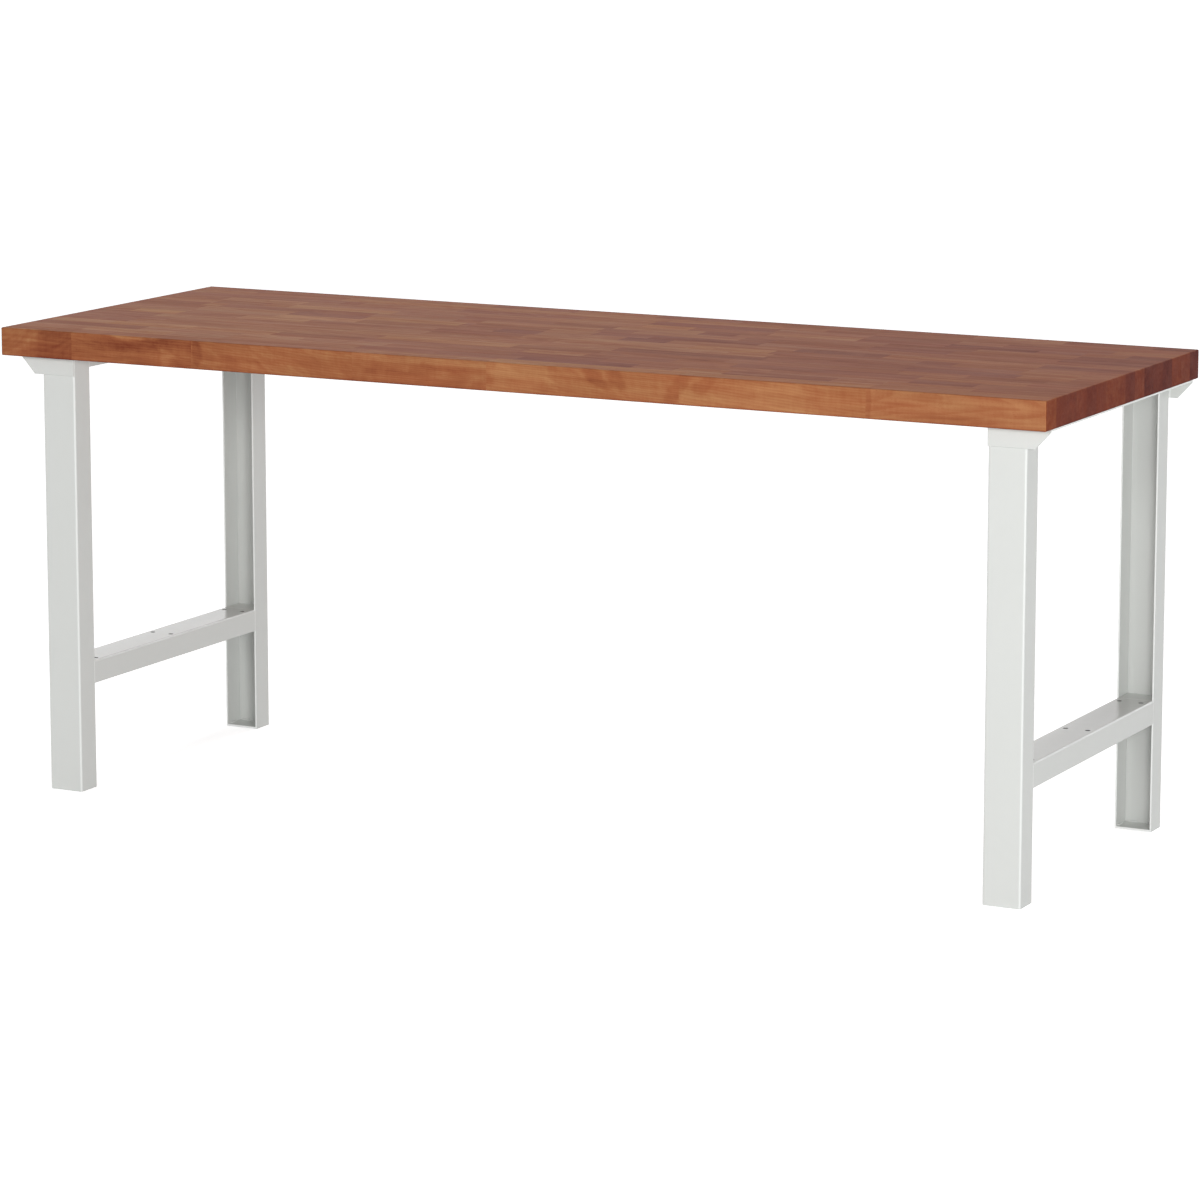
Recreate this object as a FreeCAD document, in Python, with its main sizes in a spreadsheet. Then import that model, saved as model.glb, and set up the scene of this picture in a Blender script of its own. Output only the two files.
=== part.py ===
# Workbench: a glued beech top screwed to two welded side frames of folded steel sheet.
#
# X runs along the bench, Y from the front edge to the back and Z up. The floor is Z = 0,
# and the origin lies on it under the middle of the top. All sizes are in millimetres.

import FreeCAD, Part
import Sketcher
import os
import re
from FreeCAD import Vector

document = FreeCAD.newDocument("workbench")

# Driving dimensions: name, value, what it is
SIZES = [
    ("worktop_length", 2000, "left end to right end"),
    ("worktop_depth", 700, "front edge to back edge"),
    ("worktop_thickness", 50, "planed thickness of the beech"),
    ("bench_height", 840, "floor to the upper face of the top"),
    ("stave_count", 16, "beech staves glued side by side"),
    ("edge_round", 2, "radius of the eased edges of the top"),
    ("left_setback", 69.5, "left end of the top to the left frame"),
    ("right_setback", 42.5, "right end of the top to the right frame"),
    ("depth_setback", 27, "front and back edges of the top to the leg webs"),
    ("sheet_thickness", 2.5, "sheet of the legs and cross rails"),
    ("plate_thickness", 3, "sheet of the head plates"),
    ("bend_radius", 1, "inside radius of every bend"),
    ("leg_width", 67, "across the web of a leg"),
    ("leg_depth", 48, "web face to the free edges of the flanges"),
    ("rail_height", 41, "upper face to the lower edges of a cross rail"),
    ("rail_level", 233, "floor to the upper face of a cross rail"),
    ("rail_hole_radius", 4.25, "holes for a shelf in the cross rails"),
    ("rail_hole_pair", 40, "between the two holes of a pair"),
    ("rail_hole_pitch", 250, "from one pair of holes to the next"),
    ("head_overhang", 41.5, "head plate beyond the outer side of the legs"),
    ("gusset_height", 33, "slanted front and rear flanges of a head plate"),
    ("gusset_toe", 15, "width of those flanges beyond the leg at the bottom"),
    ("inner_flange_height", 22, "flange of a head plate on the inner side"),
    ("relief_width", 3, "notch at each end of that flange's bend"),
    ("foot_plate_thickness", 4, "plate welded into the bottom of a leg"),
    ("outer_stave_count", 3, "staves between each edge and the stave that takes the screws"),
    ("screw_inset", 25, "screws from the two long edges of a head plate"),
    ("screw_radius", 4, "shank of a wood screw"),
    ("screw_length", 45, "under the head to the tip"),
    ("screw_tip_length", 8, "cone at the tip"),
    ("screw_tip_radius", 0.8, "flat left at the end of the cone"),
    ("head_across_corners", 15, "hexagon head of a wood screw"),
    ("head_height", 5.5, "hexagon head of a wood screw"),
    ("screw_hole_radius", 4.5, "clearance holes in the head plates and washers"),
    ("pilot_clearance", 0.2, "between a screw and the wall of its pilot hole"),
    ("washer_radius", 12, "large washer under a screw head"),
    ("washer_thickness", 2, "large washer under a screw head"),
    ("overrun", 5, "how far a cutting shape reaches past the material"),
]

# Places worked out from the sizes: name, formula
PLACES = [
    ("stave_width", "worktop_depth / stave_count"),
    ("underside", "bench_height - worktop_thickness"),
    ("outer_bend", "bend_radius + sheet_thickness"),
    ("outer_plate_bend", "bend_radius + plate_thickness"),
    ("web_face", "worktop_depth / 2 - depth_setback"),
    ("web_inside", "web_face - sheet_thickness"),
    ("flange_edge", "web_face - leg_depth"),
    ("plate_face", "web_face + plate_thickness"),
    ("leg_length", "underside - outer_plate_bend"),
    ("leg_inside", "leg_width / 2 - sheet_thickness"),
    ("tongue_side", "leg_width / 2 - outer_bend"),
    ("head_width", "leg_width + head_overhang"),
    ("screw_line", "worktop_depth / 2 - (outer_stave_count + 0.5) * stave_width"),
    ("washer_top", "underside - plate_thickness"),
    ("washer_bottom", "washer_top - washer_thickness"),
    ("left_frame", "left_setback + leg_width / 2 - worktop_length / 2"),
    ("right_frame", "worktop_length / 2 - right_setback - leg_width / 2"),
    ("left_head_edge", "left_frame + leg_width / 2"),
    ("right_head_edge", "right_frame - leg_width / 2"),
]

sheet = document.addObject("Spreadsheet::Sheet", "sizes")
HOME = {}


def expression(text):
    """Write the sheet's name before every size or place named in the text."""
    return re.sub(r"[a-z][a-z_]+", lambda word: HOME.get(word.group(), "") + word.group(), text)


for row, (name, value, meaning) in enumerate(SIZES, start=1):
    sheet.set("A%d" % row, name)
    sheet.set("B%d" % row, str(value))
    sheet.set("C%d" % row, meaning)
    sheet.setAlias("B%d" % row, name)
    HOME[name] = "sizes."

places = document.addObject("Spreadsheet::Sheet", "places")
for row, (name, formula) in enumerate(PLACES, start=1):
    places.set("A%d" % row, name)
    places.set("B%d" % row, "=" + expression(formula).replace("places.", ""))
    places.setAlias("B%d" % row, name)
    HOME[name] = "places."
document.recompute()


def value_of(text):
    """The number that an expression in named sizes gives."""
    return float(sheet.evalExpression(expression(text)))


def bind(thing, prop, text):
    thing.setExpression(prop, expression(text))


def place(thing, across="0", along="0", up="0", half_turn=False):
    """Set a piece at a named place, turned half round the vertical if asked."""
    if half_turn:
        thing.Placement.Rotation = FreeCAD.Rotation(Vector(0, 0, 1), 180)
    for axis, text in (("x", across), ("y", along), ("z", up)):
        bind(thing, ".Placement.Base." + axis, text)


# Bodies: sketches of named corners, and the features made from them


def new_body(label):
    body = document.addObject("PartDesign::Body", label)
    body.Label = label
    return body


def new_sketch(body, name, role):
    """An empty sketch on one of the body's own origin planes."""
    sketch = body.newObject("Sketcher::SketchObject", name)
    plane = [feature for feature in body.Origin.OriginFeatures if feature.Role == role][0]
    sketch.AttachmentSupport = (plane, [""])
    sketch.MapMode = "FlatFace"
    return sketch


def drive(sketch, kind, geometry, point, text):
    """Tie one coordinate of a sketch point to an expression."""
    if text == "0":
        axis = -2 if kind == "DistanceX" else -1
        sketch.addConstraint(Sketcher.Constraint("PointOnObject", geometry, point, axis))
        return
    made = sketch.addConstraint(
        Sketcher.Constraint(kind, -1, 1, geometry, point, value_of(text)))
    sketch.setExpression("Constraints[%d]" % made, expression(text))


def add_outline(sketch, corners):
    """A closed outline of straight lines through corners given as pairs of expressions."""
    first = sketch.GeometryCount
    points = [Vector(value_of(across), value_of(along), 0) for across, along in corners]
    for start, end in zip(points, points[1:] + points[:1]):
        sketch.addGeometry(Part.LineSegment(start, end), False)
    for index, (across, along) in enumerate(corners):
        before = first + (index - 1) % len(corners)
        sketch.addConstraint(Sketcher.Constraint("Coincident", before, 2, first + index, 1))
        drive(sketch, "DistanceX", first + index, 1, across)
        drive(sketch, "DistanceY", first + index, 1, along)


def add_circle(sketch, across, along, radius):
    centre = Vector(value_of(across), value_of(along), 0)
    circle = sketch.addGeometry(Part.Circle(centre, Vector(0, 0, 1), value_of(radius)), False)
    drive(sketch, "DistanceX", circle, 3, across)
    drive(sketch, "DistanceY", circle, 3, along)
    made = sketch.addConstraint(Sketcher.Constraint("Radius", circle, value_of(radius)))
    sketch.setExpression("Constraints[%d]" % made, expression(radius))


def rectangle(left, right, bottom, top):
    return [(left, bottom), (right, bottom), (right, top), (left, top)]


def pad(body, name, sketch, length, symmetric=False, reverse=False):
    feature = body.newObject("PartDesign::Pad", name)
    feature.Profile = sketch
    feature.SideType = "Symmetric" if symmetric else "One side"
    feature.Reversed = reverse
    bind(feature, "Length", length)
    document.recompute()
    return feature


def cut_through(body, name, sketch, reach):
    """Cut a sketch through the body, as far as the reach on both sides of its plane."""
    before = body.Shape.Volume
    feature = body.newObject("PartDesign::Pocket", name)
    feature.Profile = sketch
    feature.SideType = "Symmetric"
    bind(feature, "Length", "2 * (%s + overrun)" % reach)
    document.recompute()
    if not body.Shape.Volume < before:
        raise RuntimeError(name + " cuts nothing")
    return feature


def round_edges(body, name, wanted, radius):
    """Fillet the edges whose middle point and direction the test accepts."""
    base = body.Tip
    chosen = []
    for index, edge in enumerate(base.Shape.Edges, start=1):
        middle = edge.valueAt((edge.FirstParameter + edge.LastParameter) / 2)
        if edge.Curve.TypeId == "Part::GeomLine" and wanted(middle, edge.Curve.Direction):
            chosen.append("Edge%d" % index)
    feature = body.newObject("PartDesign::Fillet", name)
    feature.Base = (base, chosen)
    bind(feature, "Radius", radius)
    document.recompute()
    return feature


NEAR = value_of("sheet_thickness") / 100


def close(one, other):
    return abs(one - other) < NEAR


def along_axis(direction, axis):
    return close(abs(direction.dot(axis)), 1)


# The top: one slab with eased edges, seen as the staves it is glued from


def make_slab():
    body = new_body("slab")
    sketch = new_sketch(body, "slab_outline", "XY_Plane")
    half_length = "worktop_length / 2"
    half_depth = "worktop_depth / 2"
    add_outline(sketch, rectangle("-" + half_length, half_length, "-" + half_depth, half_depth))
    pad(body, "slab_pad", sketch, "worktop_thickness")
    round_edges(body, "slab_eased", lambda middle, direction: True, "edge_round")
    place(body, up="underside")
    return body


def make_pilot(name, across, along):
    """A hole a little larger than the screw, from under the top to past the screw's tip."""
    pilot = document.addObject("Part::Cylinder", name)
    bind(pilot, "Radius", "screw_radius + pilot_clearance")
    bind(pilot, "Height", "washer_bottom + screw_length + pilot_clearance - underside + overrun")
    place(pilot, across, along, "underside - overrun")
    return pilot


def make_stave(number, slab):
    strip = document.addObject("Part::Box", "stave_strip_%02d" % number)
    bind(strip, "Length", "worktop_length + 2 * overrun")
    bind(strip, "Width", "stave_width")
    bind(strip, "Height", "worktop_thickness + 2 * overrun")
    front = "%d * stave_width - worktop_depth / 2" % (number - 1)
    place(strip, "-worktop_length / 2 - overrun", front, "underside - overrun")
    stave = document.addObject("Part::Common", "stave_%02d" % number)
    stave.Base = slab
    stave.Tool = strip
    return stave


def screw_places():
    """Each screw of the bench: its frame and its place across and along."""
    spots = []
    for side, edge, outward in (("left", "left_head_edge", "-"), ("right", "right_head_edge", "+")):
        for inset in ("screw_inset", "(head_width - screw_inset)"):
            for along in ("-screw_line", "screw_line"):
                spots.append((side, "%s %s %s" % (edge, outward, inset), along))
    return spots


def make_worktop():
    slab = make_slab()
    count = int(value_of("stave_count"))
    front_stave = int(value_of("outer_stave_count")) + 1
    lines = {front_stave: "-screw_line", count + 1 - front_stave: "screw_line"}
    staves = []
    for number in range(1, count + 1):
        stave = make_stave(number, slab)
        if number in lines:
            pilots = document.addObject("Part::Compound", "pilots_%02d" % number)
            pilots.Links = [
                make_pilot("pilot_%02d_%d" % (number, index), across, along)
                for index, (side, across, along) in enumerate(screw_places(), start=1)
                if along == lines[number]
            ]
            drilled = document.addObject("Part::Cut", "drilled_%02d" % number)
            drilled.Base = stave
            drilled.Tool = pilots
            stave = drilled
        stave.Label = "worktop_stave_%02d" % number
        staves.append(stave)
    return staves


# A side frame: two legs, a cross rail, a head plate and two foot plates


def channel_corners(half_width, depth, thickness, flip):
    """A square-cornered channel: web on the axis, flanges towards plus or minus."""
    far = flip + depth
    web = flip + thickness
    inner = "(%s - %s)" % (half_width, thickness)
    return [
        ("-" + half_width, "0"), (half_width, "0"), (half_width, far), (inner, far),
        (inner, web), ("-" + inner, web), ("-" + inner, far), ("-" + half_width, far),
    ]


def make_leg(label, frame, rear):
    """A channel standing on its end, with its web outwards and its open side inwards."""
    body = new_body(label)
    sketch = new_sketch(body, label + "_section", "XY_Plane")
    add_outline(sketch, channel_corners("leg_width / 2", "leg_depth", "sheet_thickness", ""))
    pad(body, label + "_pad", sketch, "leg_length")
    upright = Vector(0, 0, 1)
    inside = value_of("sheet_thickness")
    round_edges(
        body, label + "_outer_bends",
        lambda middle, direction: along_axis(direction, upright) and close(middle.y, 0),
        "outer_bend")
    round_edges(
        body, label + "_inner_bends",
        lambda middle, direction: along_axis(direction, upright) and close(middle.y, inside)
        and close(abs(middle.x), value_of("leg_inside")),
        "bend_radius")
    place(body, frame, "web_face" if rear else "-web_face", half_turn=rear)
    return body


def make_foot_plate(label, frame, rear):
    """A plate between web and flanges, with its two corners cut clear of the bends."""
    body = new_body(label)
    sketch = new_sketch(body, label + "_outline", "XY_Plane")
    cut = "(leg_inside - bend_radius)"
    web = "sheet_thickness"
    add_outline(sketch, [
        ("-" + cut, web), (cut, web), ("leg_inside", web + " + bend_radius"),
        ("leg_inside", "leg_depth"), ("-leg_inside", "leg_depth"),
        ("-leg_inside", web + " + bend_radius"),
    ])
    pad(body, label + "_pad", sketch, "foot_plate_thickness")
    place(body, frame, "web_face" if rear else "-web_face", half_turn=rear)
    return body


def make_rail(label, frame):
    """A channel open below, its upper face running on as a tongue into both legs."""
    body = new_body(label)
    sketch = new_sketch(body, label + "_section", "XZ_Plane")
    add_outline(sketch, channel_corners("leg_width / 2", "rail_height", "sheet_thickness", "-"))
    pad(body, label + "_pad", sketch, "2 * web_inside", symmetric=True)
    lengthwise = Vector(0, 1, 0)
    under = -value_of("sheet_thickness")
    round_edges(
        body, label + "_outer_bends",
        lambda middle, direction: along_axis(direction, lengthwise) and close(middle.z, 0),
        "outer_bend")
    round_edges(
        body, label + "_inner_bends",
        lambda middle, direction: along_axis(direction, lengthwise) and close(middle.z, under)
        and close(abs(middle.x), value_of("leg_inside")),
        "bend_radius")

    shoulders = new_sketch(body, label + "_shoulders", "XY_Plane")
    side = "leg_width / 2 + overrun"
    end = "web_face + overrun"
    for near, far in (("tongue_side", side), ("-(%s)" % side, "-tongue_side")):
        add_outline(shoulders, rectangle(near, far, "flange_edge", end))
        add_outline(shoulders, rectangle(near, far, "-(%s)" % end, "-flange_edge"))
    cut_through(body, label + "_tongues", shoulders, "rail_height")

    holes = new_sketch(body, label + "_hole_places", "XY_Plane")
    for across in ("-rail_hole_pair / 2", "rail_hole_pair / 2"):
        for along in ("-rail_hole_pitch", "0", "rail_hole_pitch"):
            add_circle(holes, across, along, "rail_hole_radius")
    cut_through(body, label + "_holes", holes, "rail_height")
    place(body, frame, up="rail_level")
    return body


def make_head_plate(label, side):
    """A folded plate under the top. Its own X runs outwards from the legs' inner side."""
    body = new_body(label)
    flange = "gusset_height"
    sheet_under = "-plate_thickness"
    sketch = new_sketch(body, label + "_section", "YZ_Plane")
    add_outline(sketch, [
        ("-plate_face", "0"), ("-plate_face", "-" + flange), ("-web_face", "-" + flange),
        ("-web_face", sheet_under), ("web_face", sheet_under), ("web_face", "-" + flange),
        ("plate_face", "-" + flange), ("plate_face", "0"),
    ])
    pad(body, label + "_pad", sketch, "head_width")
    outwards = Vector(1, 0, 0)
    under = -value_of("plate_thickness")
    round_edges(
        body, label + "_outer_end_bends",
        lambda middle, direction: along_axis(direction, outwards) and close(middle.z, 0),
        "outer_plate_bend")
    round_edges(
        body, label + "_inner_end_bends",
        lambda middle, direction: along_axis(direction, outwards) and close(middle.z, under)
        and close(abs(middle.y), value_of("web_face")),
        "bend_radius")

    slope = new_sketch(body, label + "_slope", "XZ_Plane")
    toe = "leg_width + gusset_toe"
    past = "head_width + overrun"
    below = "-%s - overrun" % flange
    add_outline(slope, [
        (toe, "-" + flange), ("head_width", "-outer_plate_bend"), (past, "-outer_plate_bend"),
        (past, below), (toe, below),
    ])
    cut_through(body, label + "_slanted_ends", slope, "plate_face")

    lip = new_sketch(body, label + "_lip_section", "XZ_Plane")
    add_outline(lip, rectangle("0", "plate_thickness", "-inner_flange_height", sheet_under))
    pad(body, label + "_lip", lip, "2 * flange_edge", symmetric=True)
    notches = new_sketch(body, label + "_notch_places", "XY_Plane")
    for near, far in (
            ("flange_edge", "flange_edge + relief_width"),
            ("-(flange_edge + relief_width)", "-flange_edge")):
        add_outline(notches, rectangle("-overrun", "outer_plate_bend", near, far))
    cut_through(body, label + "_notches", notches, flange)
    lengthwise = Vector(0, 1, 0)
    round_edges(
        body, label + "_outer_lip_bend",
        lambda middle, direction: along_axis(direction, lengthwise) and close(middle.z, 0)
        and close(middle.x, 0) and close(middle.y, 0),
        "outer_plate_bend")
    round_edges(
        body, label + "_inner_lip_bend",
        lambda middle, direction: along_axis(direction, lengthwise) and close(middle.z, under)
        and close(middle.x, -under) and close(middle.y, 0),
        "bend_radius")

    holes = new_sketch(body, label + "_hole_places", "XY_Plane")
    for across in ("screw_inset", "head_width - screw_inset"):
        for along in ("-screw_line", "screw_line"):
            add_circle(holes, across, along, "screw_hole_radius")
    cut_through(body, label + "_holes", holes, "plate_thickness")
    place(body, side + "_head_edge", up="underside", half_turn=(side == "left"))
    return body


def make_frame(side):
    frame = side + "_frame"
    pieces = [make_rail(side + "_cross_rail", frame), make_head_plate(side + "_head_plate", side)]
    for end in ("front", "rear"):
        pieces.append(make_leg("%s_%s_leg" % (side, end), frame, end == "rear"))
        pieces.append(make_foot_plate("%s_%s_foot_plate" % (side, end), frame, end == "rear"))
    return pieces


# Fasteners: hexagon wood screws and their washers, driven upwards through the head plates


def make_screw(name, across, along):
    head = document.addObject("Part::Prism", name + "_head")
    head.Polygon = 6
    bind(head, "Circumradius", "head_across_corners / 2")
    bind(head, "Height", "head_height")
    place(head, across, along, "washer_bottom - head_height")
    shank = document.addObject("Part::Cylinder", name + "_shank")
    bind(shank, "Radius", "screw_radius")
    bind(shank, "Height", "screw_length - screw_tip_length")
    place(shank, across, along, "washer_bottom")
    tip = document.addObject("Part::Cone", name + "_tip")
    bind(tip, "Radius1", "screw_radius")
    bind(tip, "Radius2", "screw_tip_radius")
    bind(tip, "Height", "screw_tip_length")
    place(tip, across, along, "washer_bottom + screw_length - screw_tip_length")
    screw = document.addObject("Part::MultiFuse", name)
    screw.Shapes = [head, shank, tip]
    return screw


def make_washer(name, across, along):
    disc = document.addObject("Part::Cylinder", name + "_disc")
    bind(disc, "Radius", "washer_radius")
    bind(disc, "Height", "washer_thickness")
    place(disc, across, along, "washer_bottom")
    hole = document.addObject("Part::Cylinder", name + "_hole")
    bind(hole, "Radius", "screw_hole_radius")
    bind(hole, "Height", "washer_thickness + 2 * overrun")
    place(hole, across, along, "washer_bottom - overrun")
    washer = document.addObject("Part::Cut", name)
    washer.Base = disc
    washer.Tool = hole
    return washer


def make_fasteners(side):
    groups = []
    for kind, make in (("screw", make_screw), ("washer", make_washer)):
        group = document.addObject("Part::Compound", "%s_%ss" % (side, kind))
        group.Links = [
            make("%s_%s_%d" % (side, kind, index), across, along)
            for index, (owner, across, along) in enumerate(screw_places(), start=1)
            if owner == side
        ]
        group.Label = "%s_worktop_%ss" % (side, kind)
        groups.append(group)
    return groups


# The whole bench, checked and written out piece by piece

pieces = make_worktop()
for side in ("left", "right"):
    pieces += make_frame(side)
    pieces += make_fasteners(side)
document.recompute()

for thing in document.Objects:
    if "Invalid" in thing.State or "Error" in thing.State:
        raise RuntimeError(thing.Label + " failed: " + ", ".join(thing.State))
for piece in pieces:
    if piece.Shape.isNull() or not piece.Shape.isValid():
        raise RuntimeError(piece.Label + " has no valid shape")

os.makedirs("parts", exist_ok=True)
for piece in pieces:
    piece.Shape.exportStep("parts/%s.step" % piece.Label)
    print("%s: %d solids, %.0f mm3" % (piece.Label, len(piece.Shape.Solids), piece.Shape.Volume))
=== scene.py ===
# The looks of the workbench: an oiled beech top glued from blocks, on two powder-coated frames.
# All lengths are metres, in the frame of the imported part: X along the bench, Y to the back, Z up.

import math
import random

import bmesh
import bpy
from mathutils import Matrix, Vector


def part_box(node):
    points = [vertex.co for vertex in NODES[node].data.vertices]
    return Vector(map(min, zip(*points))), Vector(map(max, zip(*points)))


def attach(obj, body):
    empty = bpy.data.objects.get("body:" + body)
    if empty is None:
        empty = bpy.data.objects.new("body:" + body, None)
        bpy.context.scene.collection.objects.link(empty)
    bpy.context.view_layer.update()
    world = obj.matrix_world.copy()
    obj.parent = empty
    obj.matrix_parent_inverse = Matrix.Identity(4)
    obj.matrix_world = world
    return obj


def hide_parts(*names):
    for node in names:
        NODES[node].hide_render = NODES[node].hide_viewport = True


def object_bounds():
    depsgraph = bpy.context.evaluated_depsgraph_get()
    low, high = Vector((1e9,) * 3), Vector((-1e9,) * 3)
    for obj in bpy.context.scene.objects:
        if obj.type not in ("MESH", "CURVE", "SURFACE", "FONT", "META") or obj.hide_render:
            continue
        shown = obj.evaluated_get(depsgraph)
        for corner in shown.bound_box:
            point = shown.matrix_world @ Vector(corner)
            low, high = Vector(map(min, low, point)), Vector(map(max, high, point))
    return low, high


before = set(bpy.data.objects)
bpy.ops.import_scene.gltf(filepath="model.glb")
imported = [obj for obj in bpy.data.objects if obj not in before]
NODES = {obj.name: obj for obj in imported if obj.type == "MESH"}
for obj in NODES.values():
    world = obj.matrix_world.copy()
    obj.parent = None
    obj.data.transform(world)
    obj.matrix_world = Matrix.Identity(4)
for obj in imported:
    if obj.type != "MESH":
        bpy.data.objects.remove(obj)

MM = 0.001
CAD_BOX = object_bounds()
SIDES = ("left", "right")
ENDS = ("front", "rear")

# The top and its staves, counted from the front
STAVE_NAMES = sorted(name for name in NODES if name.startswith("worktop_stave_"))
FRONT_STAVE = 1
LEFT_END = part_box(STAVE_NAMES[0])[0].x
RIGHT_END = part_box(STAVE_NAMES[0])[1].x
FRONT_EDGE = CAD_BOX[0][1]
REAR_EDGE = CAD_BOX[1][1]
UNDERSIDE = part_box("worktop_stave_01")[0].z
TOP = CAD_BOX[1][2]

# The frames: sheet and holes as in the source, and the faces that their bends and edges lie on
SHEET = 2.5 * MM
HOLE_PAIR = 40 * MM
HOLE_PITCH = 250 * MM
LEG_LOW, LEG_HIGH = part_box("left_front_leg")
LEG_FACE = -LEG_LOW.y
LEG_LIP = -LEG_HIGH.y
RAIL_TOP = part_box("left_cross_rail")[1].z
BENDS = [corner.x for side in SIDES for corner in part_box(side + "_front_leg")]
PLATE_EDGES = [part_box("left_head_plate")[0].x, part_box("right_head_plate")[1].x]


# Node trees

class Tree:
    """Builds a material's nodes; a value given to an input is a number, a tuple or a socket."""

    def __init__(self, owner):
        owner.use_nodes = True
        self.tree = owner.node_tree
        self.tree.nodes.clear()

    def add(self, kind, inputs=None, **settings):
        node = self.tree.nodes.new("ShaderNode" + kind)
        for name, value in settings.items():
            setattr(node, name, value)
        for name, value in (inputs or {}).items():
            self.feed(node.inputs[name], value)
        return node

    def feed(self, socket, value):
        if isinstance(value, bpy.types.NodeSocket):
            self.tree.links.new(value, socket)
        else:
            socket.default_value = value

    def parts(self, vector):
        """The X, Y and Z of a vector."""
        return self.add("SeparateXYZ", {0: vector}).outputs

    def math(self, operation, *values):
        return self.add("Math", dict(enumerate(values)), operation=operation).outputs[0]

    def vector(self, operation, *values):
        node = self.add("VectorMath", dict(enumerate(values)), operation=operation)
        return node.outputs["Value" if operation in ("LENGTH", "DOT_PRODUCT") else "Vector"]

    def distance(self, across, along):
        """How far a point is from where both of its offsets are nought."""
        return self.vector("LENGTH", self.add("CombineXYZ", {"X": across, "Y": along}).outputs[0])

    def spread(self, value, low, high, to_low=0.0, to_high=1.0):
        """Stretches one range of a value to another, smoothly and held at both ends."""
        node = self.add("MapRange", {
            "Value": value, "From Min": low, "From Max": high,
            "To Min": to_low, "To Max": to_high}, interpolation_type="SMOOTHSTEP")
        return node.outputs["Result"]

    def mix(self, factor, first, second, blend="MIX"):
        node = self.add("Mix", data_type="RGBA", blend_type=blend)
        self.feed(node.inputs["Factor"], factor)
        self.feed(node.inputs[6], first)
        self.feed(node.inputs[7], second)
        return node.outputs[2]

    def noise(self, where, scale, detail=3.0, roughness=0.55, distortion=0.0):
        node = self.add("TexNoise", {
            "Vector": where, "Scale": scale, "Detail": detail, "Roughness": roughness,
            "Distortion": distortion}, noise_dimensions="3D")
        return node.outputs["Fac"]

    def surface(self, shader, output="OutputMaterial"):
        """Ends the tree with a shader."""
        self.feed(self.add(output).inputs["Surface"], shader.outputs[0])


def colour(red, green, blue):
    """A colour written as 0 to 255, as the shader wants it."""
    def linear(part):
        part /= 255
        return part / 12.92 if part <= 0.04045 else ((part + 0.055) / 1.055) ** 2.4
    return (linear(red), linear(green), linear(blue), 1.0)


# Colours: the oiled wood from dark to light and what tints it, the coat with its painted highlights
# on bends and cut edges and its painted shade in holes, and the zinc
DARK_WOOD = colour(107, 43, 26)
MIDDLE_WOOD = colour(156, 95, 60)
LIGHT_WOOD = colour(193, 145, 97)
COOL_TINT = colour(232, 224, 255)
HUE_TINTS = (colour(255, 250, 251), colour(251, 255, 255))
END_TINT = colour(196, 143, 112)

COATS = (colour(210, 212, 209), colour(211, 213, 210))
# Painted highlight on the outer bends
BEND_HIGHLIGHT_COAT = colour(226, 228, 226)
# Painted highlight on the cut edges
CUT_EDGE_HIGHLIGHT_COAT = colour(245, 247, 245)
# Painted shade in the rails' holes
HOLE_SHADE_COAT = colour(112, 113, 111)

ZINCS = (colour(172, 174, 178), colour(198, 199, 200))


# Beech: growth rings about a pith of the block's own, fibres, flecks and fine pores

# Noise in the wood: waves per metre along and across the block, detail, roughness, distortion;
# wander bends the rings, four fibres run from broad to fine, and flame and ray are the figure
WOOD_NOISE = {
    "wander": (3.0, 14.0, 3.0),
    "broad": (2.2, 30.0, 3.0, 0.6),
    "band": (3.5, 80.0, 2.0),
    "streak": (7.0, 210.0, 3.0, 0.6),
    "fibre": (45.0, 1500.0, 2.0),
    "fleck": (260.0, 1500.0, 1.0),
    "flame": (10.0, 38.0, 3.0, 0.6, 1.4),
    "ray": (170.0, 24.0, 2.0),
    "hue": (5.0, 26.0, 2.0),
}
RING_WIDTH = 3.4 * MM
RING_WANDER = 14 * MM
RING_RISE = (0.1, 0.85)
RING_FALL = (1.0, 0.9)
FLECK_LIMITS = (0.62, 0.72)
HUE_LIMITS = (0.3, 0.7)
RUFFLE_SCALE = 34.0
FLAME_SWERVE = 8.0

# How much each part of the grain adds to the tone, and what the four fibres add on average
FIBRE_WEIGHTS = {"broad": 0.34, "band": 0.4, "streak": 0.27, "fibre": 0.15}
GRAIN_MEAN = 0.58
RAY_WEIGHT = 0.12
RING_WEIGHT = -0.08
FLECK_WEIGHT = -0.13
SCRATCH_WEIGHT = 0.1
# The weight of the painted shade on the arrises
ARRIS_SHADE_WEIGHT = -0.5

# The fibres are calmer on the right of the front edge, from where to where and by what share
CALM_START = -0.3
CALM_FULL = 0.4
CALM_SHARE = 0.17

# Ends of blocks stray from this tone by half as much again as their other faces
END_TONE = 0.42
END_CONTRAST = 0.5

# What is taken off a tone with its grain to bring it to the range of the colours
TONE_SHIFT = 0.515

# Between these two, a component of the normal fades from facing elsewhere to facing that way
FACING = (0.6, 0.95)

# Painted shade on the arrises: full as far in as the first length, none past the second, how strong
LOW_ARRIS_SHADE = (1 * MM, 3 * MM, 0.5)
HIGH_ARRIS_SHADE = (1 * MM, 3 * MM)
REAR_ARRIS_SHADE = (5 * MM, 12 * MM)
LEFT_ARRIS_SHADE = (3 * MM, 7 * MM, 0.7)

# Faint scratches on the upper face: how wide the line and its soft rim are, from where to where
SCRATCH_LINE = 0.3 * MM
SCRATCH_RIM = 1.3 * MM
SCRATCH_FACING = (0.8, 0.95)
SCRATCHES = [
    ((-0.287, 0.0, TOP), (-0.075, -0.175, TOP)),
    ((-0.187, 0.05, TOP), (0.312, -0.0875, TOP)),
]

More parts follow.
